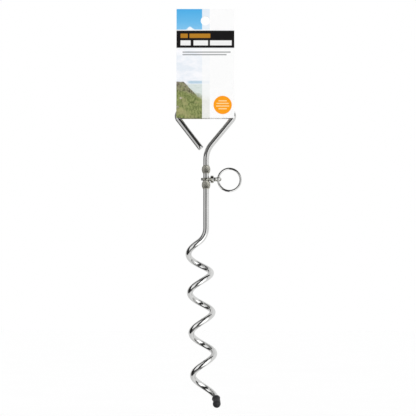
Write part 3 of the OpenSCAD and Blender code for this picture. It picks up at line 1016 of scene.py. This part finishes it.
class STAKE_OT_card(PieceOperator, bpy.types.Operator):
    """Cut the two-layer header card with its hang hole, and open its lower part over the top bar"""
    bl_idname = "stake.card"
    bl_label = "Header Card"

    def build(self, scene):
        card, bar = scene.stake_card, scene.stake_bar
        low, high = (np.array(v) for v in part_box("header_card"))
        middle_x = (low[0] + high[0]) / 2
        hole_z = high[2] - card.hole_drop
        open_y = card.bar_gap + card.board_t / 2
        # The layers start to part at the top bar's shoulder
        bend_z = grip_path(bar)[0][:, 2].max() + bar.rod_d / 4
        closed_z = bend_z + card.close_l

        def depth(z):
            """Distance of a layer's middle from the card's mid-plane at a height."""
            share = np.clip((closed_z - z) / (closed_z - bend_z), 0, 1)
            eased = share - 0.10 * np.sin(2 * math.pi * share)
            return card.board_t / 2 + (open_y - card.board_t / 2) * eased

        block = 0.75 * card.hole_d      # half the side of the square block of faces round the hole
        cells = 8                       # faces across the block, and to each side of it
        xs = np.concatenate([
            np.linspace(low[0], middle_x - block, cells + 1),
            np.linspace(middle_x - block, middle_x + block, cells + 1)[1:],
            np.linspace(middle_x + block, high[0], cells + 1)[1:],
        ])
        zs = np.concatenate([
            np.linspace(low[2], bend_z, 5),
            np.linspace(bend_z, closed_z, 15)[1:],
            np.linspace(closed_z, hole_z - block, 26)[1:],
            np.linspace(hole_z - block, hole_z + block, cells + 1)[1:],
            np.linspace(hole_z + block, high[2], 4)[1:],
        ])
        i0, k0 = cells, int(np.argmin(np.abs(zs - (hole_z - block))))
        i1, k1 = i0 + cells, k0 + cells
        flat, faces, index = [], [], {}

        def point(i, k):
            if (i, k) not in index:
                index[i, k] = len(flat)
                flat.append((xs[i], zs[k]))
            return index[i, k]

        for i in range(len(xs) - 1):
            for k in range(len(zs) - 1):
                if i0 <= i < i1 and k0 <= k < k1:
                    continue
                faces.append([point(i, k), point(i + 1, k), point(i + 1, k + 1), point(i, k + 1)])
        edge = [(i, k0) for i in range(i0, i1)] + [(i1, k) for k in range(k0, k1)]
        edge += [(i, k1) for i in range(i1, i0, -1)] + [(i0, k) for k in range(k1, k0, -1)]
        outer = [point(*e) for e in edge]
        hub = np.array([middle_x, hole_z])
        for share in (0.35, 0.7, 0.92, 1.0):
            inner = []
            for e in edge:
                corner = np.array([xs[e[0]], zs[e[1]]])
                ray = corner - hub
                rim = hub + ray / np.linalg.norm(ray) * card.hole_d / 2
                inner.append(len(flat))
                flat.append(tuple(corner + (rim - corner) * share))
            for a in range(len(edge)):
                b = (a + 1) % len(edge)
                faces.append([outer[a], outer[b], inner[b], inner[a]])
            outer = inner

        flat = np.array(flat)
        points, quads = [], []
        for side in (-1, 1):
            start = len(points)
            y = side * depth(flat[:, 1])
            points += [(x, yy, z) for (x, z), yy in zip(flat, y)]
            quads += [[start + v for v in (f if side < 0 else f[::-1])] for f in faces]
        made = object_from("folded_card", points, quads)
        board = made.modifiers.new("board", "SOLIDIFY")
        board.thickness = card.board_t
        board.offset = 0.0
        board.use_even_offset = True
        made.modifiers.new("edges", "EDGE_SPLIT").split_angle = math.radians(50)
        left, top, tall = (float(v) for v in (low[0], high[2], high[2] - low[2]))
        mats = [printed_board("printed_card", card, left, top, tall)]
        finished(made, mats, "card", ["header_card"])


# ---------------------------------------------------------------- stage

# Each softbox: its name, the bearings of its inner edge below and above and of its outer edge, in degrees from
# the front, the heights of its lower and upper edges, the glow that it takes, and its share of that glow
SOFTBOXES = (
    ("softbox_right_high", 15, 21, 56, -0.06, 0.19, "right_glow", 1.0),
    ("softbox_right_low", 4, 10, 60, -0.52, -0.06, "right_glow", 1.7),
    ("softbox_side", 60, 60, 96, -0.52, 0.19, "side_glow", 1.0),
    ("softbox_left", -19, -16, -80, -0.05, 0.17, "left_glow", 1.0),
    ("softbox_left_low", -34, -30, -74, -0.34, -0.05, "left_glow", 1.75),
    ("softbox_left_high", -12, -12, -112, 0.17, 0.42, "left_glow", 0.30),
)


class STAKE_OT_stage(PieceOperator, bpy.types.Operator):
    """Lay a plain pale floor, hang soft studio light round it and set up the camera"""
    bl_idname = "stake.stage"
    bl_label = "Stage"

    def build(self, scene):
        st = scene.stake_stage
        self.floor(st)
        self.room(scene, st)
        for *panel, glow, share in SOFTBOXES:
            self.softbox(*panel, getattr(st, glow) * share)
        self.camera(scene, st)
        scene.view_settings.view_transform = "Standard"
        scene.view_settings.look = "None"

    def floor(self, st):
        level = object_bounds()[0].z - st.floor_drop
        half = st.floor_size / 2
        corners = [(-half, -half, level), (half, -half, level), (half, half, level), (-half, half, level)]
        made = object_from("floor", corners, [(0, 1, 2, 3)])
        paint, r = material("pale_floor")
        mottle = r.noise(r.place(), 6.0, 3.0, 0.5)
        colour = r.mix(mottle, st.floor_tint, tuple(min(1.0, v * 1.02) for v in st.floor_tint))
        r.surface({"Base Color": colour, "Roughness": 0.9, "Specular IOR Level": 0.0})
        made.data.materials.append(paint)
        made.visible_glossy = False
        made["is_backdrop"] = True

    def room(self, scene, st):
        """Even white light for matt surfaces, and pale and dark parts of a room for bright metal to mirror."""
        world = bpy.data.worlds.new("studio")
        world.use_nodes = True
        scene.world = world
        r = Recipe(world.node_tree)
        mirror = self.surroundings(r, *r.parts(r.place("Generated")))
        paths = r.node("ShaderNodeLightPath").socket.node
        seen = Signal(r.tree, paths.outputs["Is Camera Ray"])
        mirrored = Signal(r.tree, paths.outputs["Is Glossy Ray"])
        grey = r.mix(mirror, (0.0, 0.0, 0.0), (1.0, 1.0, 1.0))
        level = st.room_light
        light = r.mix(mirrored, (level, level, level), grey)
        light = r.mix(seen, light, (1.0, 1.0, 1.0))
        back = r.node("ShaderNodeBackground", values={"Color": light})
        r.node("ShaderNodeOutputWorld", values={"Surface": back})

    def surroundings(self, r, x, y, z):
        """Brightness of the room in a mirror, by bearing from the front and by height, both in degrees."""
        flat = (x * x + y * y).root()
        degrees = 180 / math.pi
        around = x.math("ARCTAN2", x, 0 - y) * degrees
        upward = z.math("ARCTAN2", z, flat) * degrees
        flag = around.between(-122, -79, 4)
        front = around.between(-79, 92, 4)
        front_level = 0.035 + 0.22 * (1 - upward.past(-58, 14))
        behind_level = 0.74 + 0.10 * around.past(-8, 20) - 0.16 * upward.past(58, 14)
        return front * front_level + flag * 0.03 + (1 - front - flag).held() * behind_level

    def softbox(self, name, inner_low, inner_high, outer, low, high, glow_level):
        """An upright glowing panel that only mirrors see, between bearings from the stake's axis."""
        reach = 0.32            # metres from the stake's axis
        corners = [
            (reach * math.sin(math.radians(bearing)), -reach * math.cos(math.radians(bearing)), level)
            for bearing, level in ((inner_low, low), (outer, low), (outer, high), (inner_high, high))
        ]
        made = object_from(name, corners, [(0, 1, 2, 3)])
        glow, r = material(name + "_glow")
        light = r.node("ShaderNodeEmission", values={"Color": (1.0, 1.0, 1.0), "Strength": glow_level})
        r.node("ShaderNodeOutputMaterial", values={"Surface": light})
        made.data.materials.append(glow)
        made.visible_camera = made.visible_diffuse = made.visible_shadow = False
        made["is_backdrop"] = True

    def camera(self, scene, st):
        made = bpy.data.objects.new("camera", bpy.data.cameras.new("camera"))
        scene.collection.objects.link(made)
        back = Vector((0, -math.cos(st.elevation), math.sin(st.elevation)))
        made.location = Vector((st.look_x, 0, st.look_z)) + back * st.distance
        made.rotation_mode = "QUATERNION"
        made.rotation_quaternion = (-back).to_track_quat("-Z", "Y")
        made.data.lens = st.lens
        made.data.clip_start, made.data.clip_end = 0.01, 200.0
        scene.camera = made


# ---------------------------------------------------------------- add-on

SETTINGS = {
    "stake_bar": STAKE_PG_bar,
    "stake_stops": STAKE_PG_stops,
    "stake_coil": STAKE_PG_coil,
    "stake_cap": STAKE_PG_cap,
    "stake_collar": STAKE_PG_collar,
    "stake_swivel": STAKE_PG_swivel,
    "stake_ring": STAKE_PG_ring,
    "stake_card": STAKE_PG_card,
    "stake_steel": STAKE_PG_steel,
    "stake_stage": STAKE_PG_stage,
}
OPERATORS = (
    STAKE_OT_bar, STAKE_OT_collar, STAKE_OT_swivel, STAKE_OT_ring, STAKE_OT_cap, STAKE_OT_card, STAKE_OT_stage,
)


class STAKE_PT_sidebar(bpy.types.Panel):
    """Lists the pieces of the tent stake and their settings"""
    bl_idname = "STAKE_PT_sidebar"
    bl_label = "Tent Stake"
    bl_space_type = "VIEW_3D"
    bl_region_type = "UI"
    bl_category = "Tent Stake"

    def draw(self, context):
        column = self.layout.column(align=True)
        for operator in OPERATORS:
            column.operator(operator.bl_idname)
        for name, group in SETTINGS.items():
            box = self.layout.box()
            settings = getattr(context.scene, name)
            for key in group.__annotations__:
                box.prop(settings, key)


def register():
    for name, group in SETTINGS.items():
        bpy.utils.register_class(group)
        setattr(bpy.types.Scene, name, PointerProperty(type=group))
    for operator in OPERATORS:
        bpy.utils.register_class(operator)
    bpy.utils.register_class(STAKE_PT_sidebar)


def unregister():
    bpy.utils.unregister_class(STAKE_PT_sidebar)
    for operator in reversed(OPERATORS):
        bpy.utils.unregister_class(operator)
    for name, group in reversed(SETTINGS.items()):
        delattr(bpy.types.Scene, name)
        bpy.utils.unregister_class(group)


def main():
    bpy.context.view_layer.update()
    register()
    for operator in OPERATORS:
        group, name = operator.bl_idname.split(".")
        getattr(getattr(bpy.ops, group), name)()


if __name__ == "__main__":
    main()
